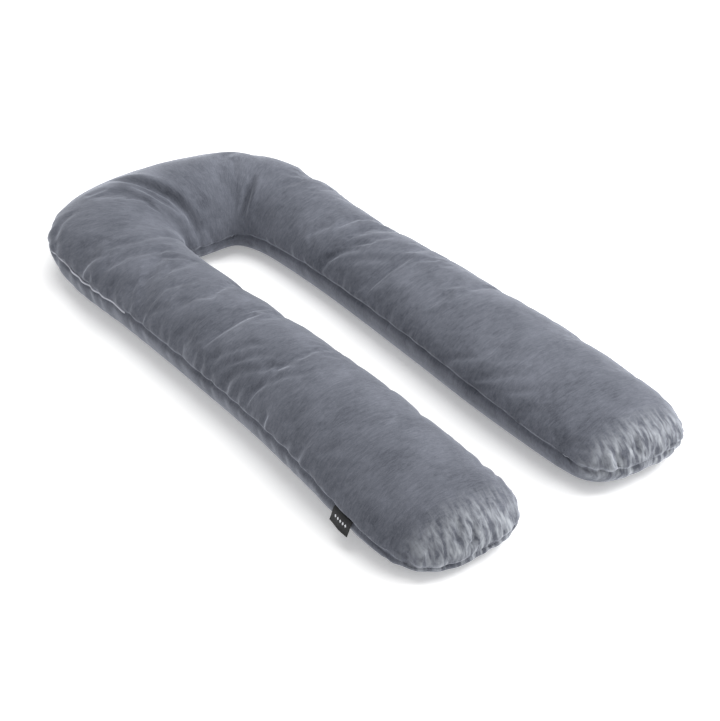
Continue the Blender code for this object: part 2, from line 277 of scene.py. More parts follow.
@dataclass
class PillowForm:
    """The unwrinkled pillow: rings that stand along a U-shaped middle line."""

    length: float = 54 * INCH
    width: float = 28 * INCH
    label_shift: float = 0.0055
    arm_offset: float = 0.2070
    bend_start: float = 0.2957
    bend_rise: float = 0.2514
    bend_squareness: float = 3.1
    turn_span: float = 0.10
    tip_length: float = 0.135
    tip_squareness: float = 2.8
    crown_fall: float = 0.247
    crown_fall_power: float = 2.44
    base_rise: float = 0.074
    crown_power: float = 1.97
    outer_flat: float = 0.40
    inner_flat: float = 0.50
    base_turn: float = 0.35
    sections: tuple[Section, ...] = (
        Section(0.134, 0.157, 0.129, 0.020, 0.031),
        Section(0.150, 0.140, 0.142, 0.054, 0.038),
        Section(0.141, 0.136, 0.157, 0.078, 0.046),
        Section(0.126, 0.132, 0.162, 0.079, 0.049),
        Section(0.120, 0.127, 0.156, 0.077, 0.046),
        Section(0.117, 0.126, 0.148, 0.077, 0.041),
        Section(0.121, 0.131, 0.143, 0.076, 0.037),
        Section(0.151, 0.139, 0.149, 0.072, 0.040),
        Section(0.137, 0.143, 0.155, 0.067, 0.044),
        Section(0.120, 0.140, 0.157, 0.061, 0.047),
        Section(0.101, 0.124, 0.146, 0.055, 0.058),
        Section(0.097, 0.122, 0.143, 0.052, 0.070),
        Section(0.111, 0.130, 0.148, 0.052, 0.078),
        Section(0.124, 0.141, 0.148, 0.051, 0.083),
        Section(0.137, 0.151, 0.146, 0.049, 0.082),
        Section(0.144, 0.149, 0.136, 0.041, 0.071),
        Section(0.155, 0.138, 0.128, 0.034, 0.050),
    )

    def __post_init__(self) -> None:
        """Lay out the middle line: two straight arms and a squarish bend."""
        angle = np.linspace(math.pi, 0, 400)
        power = 2 / self.bend_squareness
        bend_x = self.arm_offset * signed_power(np.cos(angle), power)
        bend_y = self.bend_start + self.bend_rise * np.sin(angle).clip(0) ** power
        x = np.concatenate([[-self.arm_offset], bend_x, [self.arm_offset]])
        y = np.concatenate([[-self.length / 2], bend_y, [-self.length / 2]])
        self.line = np.stack([x, y], axis=-1)
        self.distance = np.concatenate([[0], np.cumsum(np.hypot(np.diff(x), np.diff(y)))])
        self.line_length = float(self.distance[-1])

    def line_at(self, distance: np.ndarray) -> np.ndarray:
        """Points of the middle line at the given distances along it, as rows of x, y."""
        return np.stack([np.interp(distance, self.distance, self.line[:, axis]) for axis in (0, 1)], axis=-1)

    def inward_at(self, share: np.ndarray) -> np.ndarray:
        """Find the level directions towards the inside of the U.

        Args:
            share: Shares of the middle line.

        Returns:
            Unit vectors, as rows of x, y.
        """
        distance = np.asarray(share) * self.line_length
        along = self.line_at(distance + self.turn_span) - self.line_at(distance - self.turn_span)
        along /= np.linalg.norm(along, axis=-1, keepdims=True)
        return np.stack([along[:, 1], -along[:, 0]], axis=-1)

    def column(self, name: str, share: np.ndarray) -> np.ndarray:
        """One size of the sections at the given shares, along a smooth curve through its rows."""
        rows = np.array([getattr(section, name) for section in self.sections])
        return catmull_rom(rows, np.clip(share, 0, 1) * (len(rows) - 1))

    def rings(self, share: Sequence[float], around: Sequence[float]) -> np.ndarray:
        """Find the points of the rings.

        Args:
            share: Shares of the middle line, one for each ring.
            around: Ways round a ring, from 0 to 2.

        Returns:
            An array of rings, places round a ring and x, y, z.
        """
        share = np.asarray(share, float)
        around = np.asarray(around, float)
        distance = share * self.line_length
        to_tip = np.minimum(distance, self.line_length - distance)
        narrowing = dome(to_tip, self.tip_length, self.tip_squareness)
        outer = self.column("outer", share) * narrowing
        inner = self.column("inner", share) * narrowing
        outer_seam = self.column("outer_seam", share)
        inner_seam = self.column("inner_seam", share)
        mean_seam = (outer_seam + inner_seam) / 2
        outer_seam = mean_seam + (outer_seam - mean_seam) * narrowing
        inner_seam = mean_seam + (inner_seam - mean_seam) * narrowing
        crown_share = dome(to_tip, self.crown_fall, self.crown_fall_power)
        base_share = dome(to_tip, self.base_rise, 2)

        over = np.pi * (1 - np.clip(around, 0, 1))
        top_across = signed_power(np.cos(over), 2 / self.crown_power)
        lift = np.sin(over).clip(0) ** (2 / self.crown_power)
        seam = outer_seam[:, None] + np.outer(inner_seam - outer_seam, (top_across + 1) / 2)
        rise = (self.column("crown", share)[:, None] - seam) * crown_share[:, None]
        top_z = seam + rise * lift

        from_inner = np.pi / 2 * np.clip((around - 1) / self.base_turn, 0, 1)
        from_outer = np.pi / 2 * np.clip((2 - around) / self.base_turn, 0, 1)
        inner_across = self.inner_flat + (1 - self.inner_flat) * np.cos(from_inner)
        outer_across = self.outer_flat + (1 - self.outer_flat) * np.cos(from_outer)
        flat = np.clip((around - 1 - self.base_turn) / (1 - 2 * self.base_turn), 0, 1)
        base_across = np.outer(inner, inner_across) * (1 - flat) - np.outer(outer, outer_across) * flat
        inner_z = inner_seam[:, None] * (1 - np.outer(base_share, np.sin(from_inner)))
        outer_z = outer_seam[:, None] * (1 - np.outer(base_share, np.sin(from_outer)))
        base_z = inner_z * (1 - flat) + outer_z * flat

        on_top = around <= 1
        top_across = np.where(top_across < 0, np.outer(outer, top_across), np.outer(inner, top_across))
        across = np.where(on_top, top_across, base_across)
        z = np.where(on_top, top_z, base_z)
        xy = self.line_at(distance)[:, None, :] + self.inward_at(share)[:, None, :] * across[:, :, None]
        return np.concatenate([xy, z[:, :, None]], axis=-1)

    def fit(self, points: np.ndarray) -> np.ndarray:
        """Give the pillow its full width and length, centred together with its label.

        Args:
            points: Rows of x, y, z.

        Returns:
            The points, scaled and moved.
        """
        low, high = points.min(axis=0), points.max(axis=0)
        scale = np.array([self.width / (high[0] - low[0]), self.length / (high[1] - low[1]), 1])
        middle = (low + high) / 2
        middle[2] = 0
        return (points - middle) * scale + [self.label_shift, 0, 0]


@dataclass
class Relief:
    """How the seam, the puckers beside it and the main folds push the cover in."""

    form: PillowForm
    seam_depth: float = 0.0050
    seam_reach: float = 0.0055
    fade_low: float = 0.004
    fade_high: float = 0.026
    spacing: tuple[Sway, ...] = (Sway(0.20, 1.3, 0.0), Sway(0.10, 2.9, 1.0))
    strength: Sway = Sway(0.25, 2.7, 0.6)
    pucker_softness: float = 0.05
    fold_steps: int = 48
    fold_taper: float = 3.0
    fold_search: float = 5.0
    ridge_share: float = 0.2
    gathers: tuple[Gather, ...] = (
        Gather(0.00, 0.17, 0.036, 0.0062, 0.034),
        Gather(0.20, 0.90, 0.050, 0.0048, 0.034),
        Gather(0.90, 1.46, 0.046, 0.0062, 0.044),
        Gather(1.55, 3.00, 0.070, 0.0040, 0.026),
        Gather(3.06, 3.56, 0.038, 0.0065, 0.034),
        Gather(3.62, 4.40, 0.070, 0.0035, 0.022),
        Gather(4.42, 4.70, 0.040, 0.0045, 0.028),
        Gather(4.80, 5.60, 0.070, 0.0035, 0.024),
        Gather(5.64, 5.88, 0.036, 0.0050, 0.034),
    )
    folds: tuple[Fold, ...] = (
        Fold(0.011, 0.013, ((0.472, 0.27), (0.474, 0.48), (0.480, 0.66), (0.483, 0.80), (0.479, 0.94))),
        Fold(0.008, 0.008, ((0.466, 0.42), (0.467, 0.55), (0.469, 0.67), (0.474, 0.77))),
        Fold(0.007, 0.010, ((0.574, 0.60), (0.577, 0.70), (0.581, 0.80), (0.586, 0.92))),
        Fold(0.009, 0.006, ((0.388, 0.62), (0.398, 0.76), (0.412, 0.95))),
        Fold(0.009, 0.0045, ((0.333, 0.03), (0.337, 0.13), (0.346, 0.24), (0.344, 0.36), (0.339, 0.52))),
        Fold(0.009, 0.0040, ((0.372, 0.02), (0.375, 0.12), (0.376, 0.22), (0.371, 0.36))),
        Fold(0.009, 0.0035, ((0.388, 0.03), (0.391, 0.12), (0.390, 0.22), (0.384, 0.34))),
        Fold(0.010, 0.0035, ((0.415, 0.04), (0.421, 0.11), (0.430, 0.18), (0.437, 0.30))),
        Fold(0.009, 0.0028, ((0.242, 0.02), (0.241, 0.10), (0.234, 0.21), (0.224, 0.31), (0.211, 0.44))),
        Fold(0.008, 0.0028, ((0.224, 0.02), (0.228, 0.08), (0.224, 0.17), (0.216, 0.26), (0.197, 0.43))),
        Fold(0.009, 0.0030, ((0.209, 0.02), (0.213, 0.10), (0.208, 0.21), (0.196, 0.30), (0.177, 0.47))),
        Fold(0.008, 0.0028, ((0.185, 0.02), (0.189, 0.10), (0.187, 0.19), (0.181, 0.29), (0.162, 0.48))),
        Fold(0.007, 0.0045, ((0.165, 0.01), (0.166, 0.07), (0.165, 0.14))),
        Fold(0.007, 0.0040, ((0.111, 0.01), (0.111, 0.08), (0.108, 0.15))),
        Fold(0.008, 0.0025, ((0.113, 0.14), (0.105, 0.22), (0.098, 0.30))),
        Fold(0.008, 0.0030, ((0.317, 0.13), (0.309, 0.20), (0.302, 0.29))),
        Fold(0.009, 0.0022, ((0.394, 0.21), (0.389, 0.36), (0.384, 0.51), (0.392, 0.72))),
        Fold(0.009, 0.0022, ((0.378, 0.24), (0.373, 0.36), (0.366, 0.48), (0.361, 0.66))),
        Fold(0.009, 0.0022, ((0.341, 0.27), (0.336, 0.40), (0.335, 0.55), (0.345, 0.72))),
        Fold(0.009, 0.0022, ((0.324, 0.24), (0.318, 0.37), (0.310, 0.53))),
        Fold(0.009, 0.0022, ((0.300, 0.22), (0.294, 0.37), (0.288, 0.53))),
        Fold(0.009, 0.0035, ((0.692, 0.92), (0.704, 0.75), (0.718, 0.64))),
        Fold(0.009, 0.0028, ((0.714, 0.80), (0.730, 0.68), (0.744, 0.60))),
        Fold(0.0055, -0.008, ((0.9955, 0.99), (0.9945, 0.93), (0.992, 0.84), (0.988, 0.74))),
        Fold(0.005, 0.007, ((0.998, 0.97), (0.997, 0.88), (0.995, 0.80), (0.991, 0.73))),
        Fold(0.005, 0.006, ((0.998, 0.66), (0.995, 0.59), (0.988, 0.55))),
        Fold(0.005, 0.006, ((0.016, 0.01), (0.018, 0.06), (0.022, 0.10))),
        Fold(0.005, -0.006, ((0.012, 0.01), (0.011, 0.08), (0.012, 0.17))),
        Fold(0.005, 0.006, ((0.001, 0.30), (0.002, 0.45), (0.008, 0.51))),
        Fold(0.005, 0.005, ((0.004, 0.32), (0.009, 0.40), (0.014, 0.43))),
    )

    def gather_depth(self, gather: Gather, from_seam: np.ndarray, along: np.ndarray) -> np.ndarray:
        """Depth of one run of puckers: sharp valleys with round bulges between them.

        Args:
            gather: The run.
            from_seam: Distance of each point from the seam.
            along: Distance of each point along the seam.

        Returns:
            The depth at each point.
        """
        turns = (along - gather.start) / gather.pitch
        uneven = turns + sum(sway.at(turns) for sway in self.spacing)
        strength = 1 - self.strength.size + self.strength.at(turns)
        valley = 1 - np.sqrt(np.sin(np.pi * uneven) ** 2 + self.pucker_softness)
        ends = np.clip((along - gather.start) / gather.pitch, 0, 1)
        ends *= np.clip((gather.end - along) / gather.pitch, 0, 1)
        return gather.depth * strength * valley * ends * np.exp(-((from_seam / gather.reach) ** 2))

    def fold_depth(self, fold: Fold, points: np.ndarray) -> np.ndarray:
        """Press one fold: a valley, with a low ridge on both sides.

        Args:
            fold: The fold's path and size.
            points: Rows of x, y, z on the unwrinkled pillow.

        Returns:
            How far each point sinks.
        """
        places = np.array(fold.places)
        steps = np.linspace(0, len(places) - 1, self.fold_steps)
        share = np.interp(steps, range(len(places)), places[:, 0])
        around = np.interp(steps, range(len(places)), places[:, 1])
        path = self.form.rings(share, around)[range(self.fold_steps), range(self.fold_steps)]
        distance, along = nearest_on_path(points, path, self.fold_search * fold.width)
        length = np.linalg.norm(np.diff(path, axis=0), axis=1).sum()
        middle = 1 - np.abs(2 * along / length - 1) ** self.fold_taper
        valley = np.exp(-((distance / fold.width) ** 2))
        ridge = np.exp(-(((distance - 2 * fold.width) / fold.width) ** 2))
        return fold.depth * (valley - self.ridge_share * ridge) * middle

    def depth(self, points: np.ndarray, from_seam: np.ndarray, along: np.ndarray) -> np.ndarray:
        """How far the cover is pushed in.

        Args:
            points: Rows of x, y, z on the unwrinkled pillow.
            from_seam: Distance of each point from the seam.
            along: Distance of each point along the seam.

        Returns:
            The depth at each point, which dies away near the base.
        """
        depth = self.seam_depth * np.exp(-((from_seam / self.seam_reach) ** 2))
        for gather in self.gathers:
            depth += self.gather_depth(gather, from_seam, along)
        for fold in self.folds:
            depth += self.fold_depth(fold, points)
        return depth * smooth_step((points[:, 2] - self.fade_low) / (self.fade_high - self.fade_low))


@dataclass(frozen=True)
class BrushedVelour:
    """Polyester velour with a short brushed pile.

    It looks darker where the pile leans away and lighter where it leans up, in random patches and streaks,
    and its outline glows. Near the arm tips it takes pale flecks that stand for pile pressed flat and are
    also a painted highlight.
    """

    name: str = "polyester velour, brushed"
    leaning_away: str = "#43464f"
    lying: str = "#595c65"
    leaning_up: str = "#6c6f79"
    # Pale grey of the flecks near the arm tips: pile pressed flat, and also a painted highlight.
    crushed_highlight: str = "#a9adb3"
    streak_width_mm: float = 4.5
    streak_length_mm: float = 20.0
    patch_mm: float = 80.0
    crushed_highlight_mm: float = 9.0
    crushed_highlight_length_mm: float = 30.0
    pile_mm: float = 2.2
    sheen: float = 1.0
    sheen_roughness: float = 0.36
    sheen_tint: str = "#c4c8d2"
    roughness: float = 0.85

    def build(self) -> Material:
        """Make the material. It reads the cover's own map, along and round the pillow in metres.

        Returns:
            The material.
        """
        material, tree, shader = new_material(self.name)
        surface = add_node(tree, "ShaderNodeUVMap", uv_map="surface").outputs["UV"]
        place = add_node(tree, "ShaderNodeTexCoord").outputs["Object"]
        brushed = stretch(tree, surface, (self.streak_width_mm, self.streak_length_mm, 1000))
        streaks = add_noise(tree, brushed, 1.0, 4.0, 0.62, 1.2)
        patches = add_noise(tree, place, 1000 / self.patch_mm, 5.0, 0.6, 0.4)
        pile = add_noise(tree, place, 1000 / self.pile_mm, 3.0, 0.7)
        lean = add_node(tree, "ShaderNodeMix", {"Factor": 0.5, "A": patches, "B": streaks}).outputs["Result"]
        lean = add_node(tree, "ShaderNodeMix", {"Factor": 0.22, "A": lean, "B": pile}).outputs["Result"]
        away = map_range(tree, lean, 0.50, 0.36)
        up = map_range(tree, lean, 0.50, 0.66)
        colour = mix_colours(tree, away, linear(self.lying), linear(self.leaning_away))
        colour = mix_colours(tree, up, colour, linear(self.leaning_up))

        # Pale flecks near the arm tips: pile pressed flat in the gathers, and also a painted highlight where
        # the tips catch the light.
        gathers = (self.crushed_highlight_mm, self.crushed_highlight_length_mm, self.crushed_highlight_length_mm)
        flecks = add_noise(tree, stretch(tree, place, gathers), 1.0, 3.0, 0.55, 0.3)
        tip = add_node(tree, "ShaderNodeAttribute", attribute_name="tip").outputs["Fac"]
        crushed_highlight = add_math(tree, "MULTIPLY", tip, map_range(tree, flecks, 0.38, 0.68))
        colour = mix_colours(tree, crushed_highlight, colour, linear(self.crushed_highlight))
        tree.links.new(colour, shader.inputs["Base Color"])

        bumps = add_node(tree, "ShaderNodeBump", {"Height": streaks, "Strength": 0.22, "Distance": 0.0012})
        bumps = add_node(tree, "ShaderNodeBump", {
            "Height": pile, "Strength": 0.5, "Distance": 0.0006, "Normal": bumps.outputs["Normal"],
        })
        tree.links.new(bumps.outputs["Normal"], shader.inputs["Normal"])
        shader.inputs["Roughness"].default_value = self.roughness
        shader.inputs["Specular IOR Level"].default_value = 0.25
        shader.inputs["Sheen Weight"].default_value = self.sheen
        shader.inputs["Sheen Roughness"].default_value = self.sheen_roughness
        shader.inputs["Sheen Tint"].default_value = linear(self.sheen_tint)
        return material


@dataclass(frozen=True)
class CoilNylon:
    """Extruded nylon coil, pale and slightly glossy, dyed through, with a faint haze between the turns."""

    name: str = "nylon zip coil, extruded"
    colour: str = "#dfe1e8"
    shaded: str = "#b4b7c2"
    haze_per_metre: float = 600.0
    roughness: float = 0.38
    ior: float = 1.53

    def build(self) -> Material:
        """Make the material: an even colour, a little darker between the turns.

        Returns:
            The material.
        """
        material, tree, shader = new_material(self.name)
        place = add_node(tree, "ShaderNodeTexCoord").outputs["Object"]
        haze = add_noise(tree, place, self.haze_per_metre, 2.0)
        colour = mix_colours(tree, haze, linear(self.shaded), linear(self.colour))
        tree.links.new(colour, shader.inputs["Base Color"])
        shader.inputs["Roughness"].default_value = self.roughness
        shader.inputs["IOR"].default_value = self.ior
        return material


@dataclass(frozen=True)
class TapeWeave:
    """Woven polyester zip tape: matte, with fine ribs across it."""

    name: str = "polyester zip tape, woven"
    colour: str = "#8d909b"
    rib_mm: float = 0.8

    def build(self) -> Material:
        """Make the material, with its ribs across the map's first direction.

        Returns:
            The material.
        """
        material, tree, shader = new_material(self.name)
        surface = add_node(tree, "ShaderNodeUVMap", uv_map="surface").outputs["UV"]
        ribs = add_node(tree, "ShaderNodeTexWave", {
            "Vector": surface, "Scale": 1000 / self.rib_mm / (2 * math.pi), "Distortion": 0.4,
        }, bands_direction="X")
        bump = add_node(tree, "ShaderNodeBump", {
            "Height": ribs.outputs["Fac"], "Strength": 0.5, "Distance": 0.0002,
        })
        tree.links.new(bump.outputs["Normal"], shader.inputs["Normal"])
        shader.inputs["Base Color"].default_value = linear(self.colour)
        shader.inputs["Roughness"].default_value = 0.8
        return material


@dataclass(frozen=True)
class WovenRibbon:
    """Black woven polyester ribbon: a satin ground with fine cross threads, and pale woven diamonds."""

    name: str = "polyester label ribbon, woven"
    ground: str = "#0f1012"
    thread: str = "#d9dbe0"
    thread_mm: float = 0.7
    diamonds: int = 5
    diamond_reach: float = 0.34
    diamond_edge: float = 0.04
    diamond_drop: float = 0.45
    diamond_width: float = 2.6
    row_half: float = 0.36

    def build(self) -> Material:
        """Make the material. Its map runs along the ribbon's edge and down its face, both from 0 to 1.

        Returns:
            The material.
        """
        material, tree, shader = new_material(self.name)
        surface = add_node(tree, "ShaderNodeUVMap", uv_map="surface").outputs["UV"]
        parts = add_node(tree, "ShaderNodeSeparateXYZ", {"Vector": surface}).outputs
        repeat = add_math(tree, "MULTIPLY", parts["X"], float(self.diamonds + 2))
        sideways = add_math(tree, "SUBTRACT", add_math(tree, "PINGPONG", repeat, 1.0), 0.5)
        down = add_math(tree, "ABSOLUTE", add_math(tree, "SUBTRACT", parts["Y"], self.diamond_drop))
        down = add_math(tree, "MULTIPLY", down, self.diamond_width)
        reach = add_math(tree, "ADD", add_math(tree, "ABSOLUTE", sideways), down)
        inside = map_range(tree, reach, self.diamond_reach, self.diamond_reach - self.diamond_edge)
        from_middle = add_math(tree, "ABSOLUTE", add_math(tree, "SUBTRACT", parts["X"], 0.5))
        drawn = add_math(tree, "MULTIPLY", inside, add_math(tree, "LESS_THAN", from_middle, self.row_half))
        colour = mix_colours(tree, drawn, linear(self.ground), linear(self.thread))
        place = add_node(tree, "ShaderNodeTexCoord").outputs["Object"]
        threads = add_node(tree, "ShaderNodeTexWave", {
            "Vector": place, "Scale": 1000 / self.thread_mm / (2 * math.pi),
        }, bands_direction="Z")
        bump = add_node(tree, "ShaderNodeBump", {
            "Height": threads.outputs["Fac"], "Strength": 0.4, "Distance": 0.0002,
        })
        tree.links.new(colour, shader.inputs["Base Color"])
        tree.links.new(bump.outputs["Normal"], shader.inputs["Normal"])
        shader.inputs["Roughness"].default_value = 0.55
        return material


@dataclass(frozen=True)
class StudioPaper:
    """Seamless white studio paper on a light table: matte, even, and lit a little from below."""

    name: str = "studio paper, matte"
    colour: str = "#f7f7f7"
    glow: float = 0.30

    def build(self) -> Material:
        """Make the material: an even white with a little light from below.

        Returns:
            The material.
        """
        material, tree, shader = new_material(self.name)
        shader.inputs["Base Color"].default_value = linear(self.colour)
        shader.inputs["Emission Color"].default_value = linear(self.colour)
        shader.inputs["Emission Strength"].default_value = self.glow
        shader.inputs["Roughness"].default_value = 0.9
        return material


def grid_mesh(name: str, points: np.ndarray, closed: bool) -> Mesh:
    """Make a mesh from a grid of points.

    Args:
        name: The mesh's name.
        points: An array of rows, places along a row and x, y, z.
        closed: Whether each row runs round to its start.

    Returns:
        The mesh, with its faces in order of rows.
    """
    rows, size = points.shape[:2]
    spans = size if closed else size - 1
    row, place = np.meshgrid(np.arange(rows - 1), np.arange(spans), indexing="ij")
    beside = (place + 1) % size
    corners = [row * size + place, row * size + beside, (row + 1) * size + beside, (row + 1) * size + place]
    faces = np.stack(corners, axis=-1).reshape(-1, 4)
    mesh = bpy.data.meshes.new(name)
    mesh.from_pydata(points.reshape(-1, 3).tolist(), [], faces.tolist())
    return mesh


def mesh_points(mesh: Mesh) -> np.ndarray:
    """Read a mesh's points.

    Args:
        mesh: The mesh.

    Returns:
        Rows of x, y, z.
    """
    points = np.empty(len(mesh.vertices) * 3, np.float32)
    mesh.vertices.foreach_get("co", points)
    return points.reshape(-1, 3).astype(float)


def vertex_normals(mesh: Mesh) -> np.ndarray:
    """Read a mesh's vertex normals.

    Args:
        mesh: The mesh.

    Returns:
        Rows of x, y, z.
    """
    normals = np.empty(len(mesh.vertices) * 3, np.float32)
    mesh.vertex_normals.foreach_get("vector", normals)
    return normals.reshape(-1, 3).astype(float)


def link_object(name: str, data: ID) -> Object:
    """Make an object and link it to the scene.

    Args:
        name: Name of the object.
        data: Its mesh, curve, light or camera.

    Returns:
        The object.
    """
    made = bpy.data.objects.new(name, data)
    bpy.context.scene.collection.objects.link(made)
    return made


def corner_points(mesh: Mesh) -> np.ndarray:
    """Read which point each face corner stands on.

    Args:
        mesh: The mesh.

    Returns:
        The number of a point for each corner.
    """
    corners = np.empty(len(mesh.loops), np.int32)
    mesh.loops.foreach_get("vertex_index", corners)
    return corners


def add_surface_map(mesh: Mesh, first: np.ndarray, second: np.ndarray) -> None:
    """Add the map that the finishes read, from its two values at each face corner."""
    layer = mesh.uv_layers.new(name="surface")
    layer.data.foreach_set("uv", np.stack([first, second], axis=-1).ravel())


def close_ends(mesh: Mesh, size: int) -> None:
    """Close a swept mesh with a face across its first section and its last.

    Args:
        mesh: The mesh, made of sections in order.
        size: Points in a section.
    """
    bm = bmesh.new()
    bm.from_mesh(mesh)
    bm.verts.ensure_lookup_table()
    for first in (0, len(bm.verts) - size):
        bm.faces.new(bm.verts[first : first + size])
    bmesh.ops.recalc_face_normals(bm, faces=bm.faces)
    bm.to_mesh(mesh)
    bm.free()


class Grid(NamedTuple):
    """Rings along the pillow and places round each ring, at one fineness."""

    shares: np.ndarray
    places: np.ndarray
    inner: int


@dataclass
class Cover:
    """The filled velour cover: a base panel, and a top panel with some ease that the seam thread gathers."""

    form: PillowForm
    relief: Relief
    first_ring: float = 0.0008
    seam_search: float = 0.15
    sim_coarseness: float = 1.7
    frames: int = 20
    pressure: float = 4.0
    ease: float = 0.047
    draw_in: float = 0.018
    seam_band: float = 0.012
    bed_low: float = 0.003
    bed_height: float = 0.030
    fold_share: float = 0.55
    most_move: float = 0.012
    swell_rings: int = 11
    under_fade: float = 0.15
    under_share: float = 0.8
    top_girth: float = 0.36
    base_girth: float = 0.30
    # How far from the arm ends the pale flecks fade out; they are pile pressed flat and also a painted
    # highlight.
    tip_span: float = 0.08
    ring_gaps: tuple[Gap, ...] = (
        Gap(0.000, 0.0012),
        Gap(0.010, 0.0038),
        Gap(0.040, 0.0048),
        Gap(0.960, 0.0048),
        Gap(0.990, 0.0038),
        Gap(1.000, 0.0012),
    )
    place_gaps: tuple[Gap, ...] = (
        Gap(0.00, 0.0020),
        Gap(0.06, 0.0046),
        Gap(0.94, 0.0046),
        Gap(1.00, 0.0020),
        Gap(1.08, 0.0050),
        Gap(1.35, 0.0070),
        Gap(1.65, 0.0070),
        Gap(1.92, 0.0050),
        Gap(2.00, 0.0020),
    )

    def lay_grid(self, coarseness: float) -> Grid:
        """Lay out rings and places.

        Args:
            coarseness: What the tabled gaps are multiplied by.

        Returns:
            The grid.
        """
        rings = [Gap(row.place, row.gap * coarseness) for row in self.ring_gaps]
        places = [Gap(row.place, row.gap * coarseness) for row in self.place_gaps]
        first = self.first_ring / self.form.line_length
        top = graded(places, 0, 1, self.top_girth)
        base = graded(places, 1, 2, self.base_girth)[1:-1]
        shares = graded(rings, first, 1 - first, self.form.line_length)
        return Grid(shares, np.concatenate([top, base]), len(top) - 1)

    def build(self) -> Object:
        """Make the cover: its settled form, its seam and folds, its map and its tip attribute.

        Returns:
            The finished object.
        """
        self.grid = self.lay_grid(1.0)
        rings = self.form.rings(self.grid.shares, self.grid.places)
        smooth = rings.reshape(-1, 3)
        seam = self.seam_loop(rings, self.grid.inner)
        from_seam, along_seam = nearest_on_path(smooth, seam, self.seam_search)
        folds = self.relief.depth(smooth, from_seam, along_seam)
        rings = rings + self.settle()
        mesh = self.close_mesh("velour_cover", rings)
        folds = np.concatenate([folds, [folds[0], folds[-1]]])
        points = mesh_points(mesh) - vertex_normals(mesh) * folds[:, None]
        points = self.form.fit(points)
        points[:, 2] = points[:, 2].clip(0)
        mesh.vertices.foreach_set("co", points.ravel())
        mesh.update()
        self.add_map(mesh)
        self.mark_tips(mesh)
        mesh.shade_smooth()
        return link_object("velour_cover", mesh)

    def close_mesh(self, name: str, rings: np.ndarray) -> Mesh:
        """Make a closed mesh of rings.

        Args:
            name: The mesh's name.
            rings: An array of rings, places round a ring and x, y, z.

        Returns:
            The mesh, with a point that closes each tip after the rings' own points.
        """
        mesh = grid_mesh(name, rings, closed=True)
        bm = bmesh.new()
        bm.from_mesh(mesh)
        bm.verts.ensure_lookup_table()
        size = rings.shape[1]
        for ring in (bm.verts[:size], bm.verts[-size:]):
            pole = bm.verts.new(sum((vert.co for vert in ring), Vector()) / size)
            for here, beside in zip(ring, ring[1:] + ring[:1]):
                bm.faces.new((here, beside, pole))
        bmesh.ops.recalc_face_normals(bm, faces=bm.faces)
        bm.to_mesh(mesh)
        bm.free()
        return mesh

    def seam_loop(self, rings: np.ndarray, inner: int) -> np.ndarray:
        """The seam as a closed path, up the outer side from the tip at -X and back inside the U."""
        outer = rings[::2, 0]
        return np.concatenate([outer, rings[::-2, inner], outer[:1]])

    def settle(self) -> np.ndarray:
        """Let a coarser cover puff up as cloth: the top panel has some ease, and the seam thread draws in.

        Returns:
            How far each point of the finished grid moves, as rings, places and x, y, z.
        """
        grid = self.lay_grid(self.sim_coarseness)
        rings = self.form.rings(grid.shares, grid.places)
        panels = link_object("cloth_panels", self.close_mesh("cloth_panels", rings))
        start = mesh_points(panels.data)
        from_seam, _ = nearest_on_path(start, self.seam_loop(rings, grid.inner), 2 * self.seam_band)
        on_bed = 1 - smooth_step((start[:, 2] - self.bed_low) / self.bed_height)
        sewn = 1 - smooth_step(from_seam / self.seam_band)
        under = np.tile(grid.places > 1, len(grid.shares))
        sewn[: len(under)][under] = 1
        self.set_cloth(panels, on_bed, sewn)
        scene = bpy.context.scene
        for number in range(1, self.frames + 1):
            scene.frame_set(number)
        found = panels.evaluated_get(bpy.context.evaluated_depsgraph_get())
        move = mesh_points(found.data) - start
        scene.frame_set(1)
        bpy.data.objects.remove(panels, do_unlink=True)
        field = self.keep_folds(move[:-2].reshape(rings.shape), grid)
        length = np.linalg.norm(field, axis=-1, keepdims=True)
        log.info("cloth folds: mean %.1f mm, most %.1f mm", length.mean() * 1000, length.max() * 1000)
        field *= self.most_move * np.tanh(length / self.most_move) / np.maximum(length, 1e-9)
        along = np.interp(self.grid.shares, grid.shares, range(len(grid.shares)))
        around = np.interp(self.grid.places, [*grid.places, 2], range(len(grid.places) + 1))
        closed = np.concatenate([field[:, -1:], field, field[:, :2]], axis=1)
        across = catmull_rom(np.swapaxes(closed, 0, 1), around + 1)
        return catmull_rom(np.swapaxes(across, 0, 1), along)

    def set_cloth(self, panels: Object, on_bed: np.ndarray, sewn: np.ndarray) -> None:
        """Make the panels a light, pressed-out cloth.

        Args:
            panels: The coarse cover.
            on_bed: How firmly each point rests on the bed.
            sewn: How much each point belongs to the seam thread or the base panel.
        """
        cloth = panels.modifiers.new("cloth", "CLOTH")
        settings = cloth.settings
        settings.vertex_group_mass = self.weigh(panels, "lies on the bed", on_bed)
        settings.vertex_group_shrink = self.weigh(panels, "seam thread and base panel", sewn)
        settings.shrink_min = -self.ease
        settings.shrink_max = self.draw_in
        settings.quality = 5
        settings.mass = 0.15
        settings.tension_stiffness = 15
        settings.compression_stiffness = 15
        settings.shear_stiffness = 5
        settings.bending_stiffness = 0.1
        settings.use_pressure = True
        settings.uniform_pressure_force = self.pressure
        settings.effector_weights.gravity = 0
        cloth.point_cache.frame_start = 1
        cloth.point_cache.frame_end = self.frames

